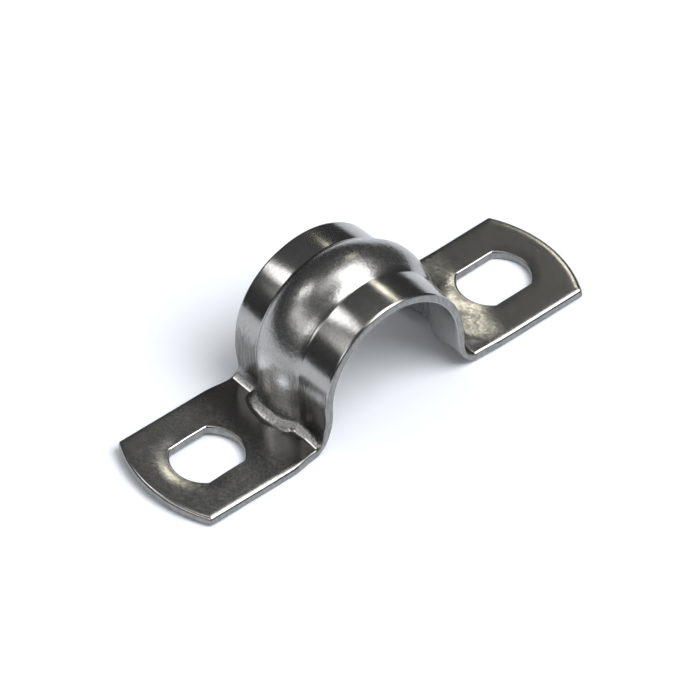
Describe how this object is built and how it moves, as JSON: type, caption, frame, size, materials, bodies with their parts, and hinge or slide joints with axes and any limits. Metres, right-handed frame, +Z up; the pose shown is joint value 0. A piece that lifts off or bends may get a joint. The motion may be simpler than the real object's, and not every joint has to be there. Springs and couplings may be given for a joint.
{
  "type": "two-hole pipe strap",
  "caption": "One-piece pressed stainless saddle strap: a beaded half-round arch between two flat ears with curved ends and flat-sided screw holes.",
  "frame": {"origin": "middle of the strap on the plane its two ears rest on, straight below the top of the arch", "axes": "+X along the strap from one ear to the other, +Y along the pipe it holds, +Z up from the wall through the top of the arch"},
  "size_m": [0.071, 0.02, 0.021],
  "materials": {
    "stainless_steel": "bright rolled sheet, lightly tumbled, with draw marks at the bends"
  },
  "bodies": {
    "root": {"pipe_strap": "stainless_steel"}
  },
  "joints": []
}
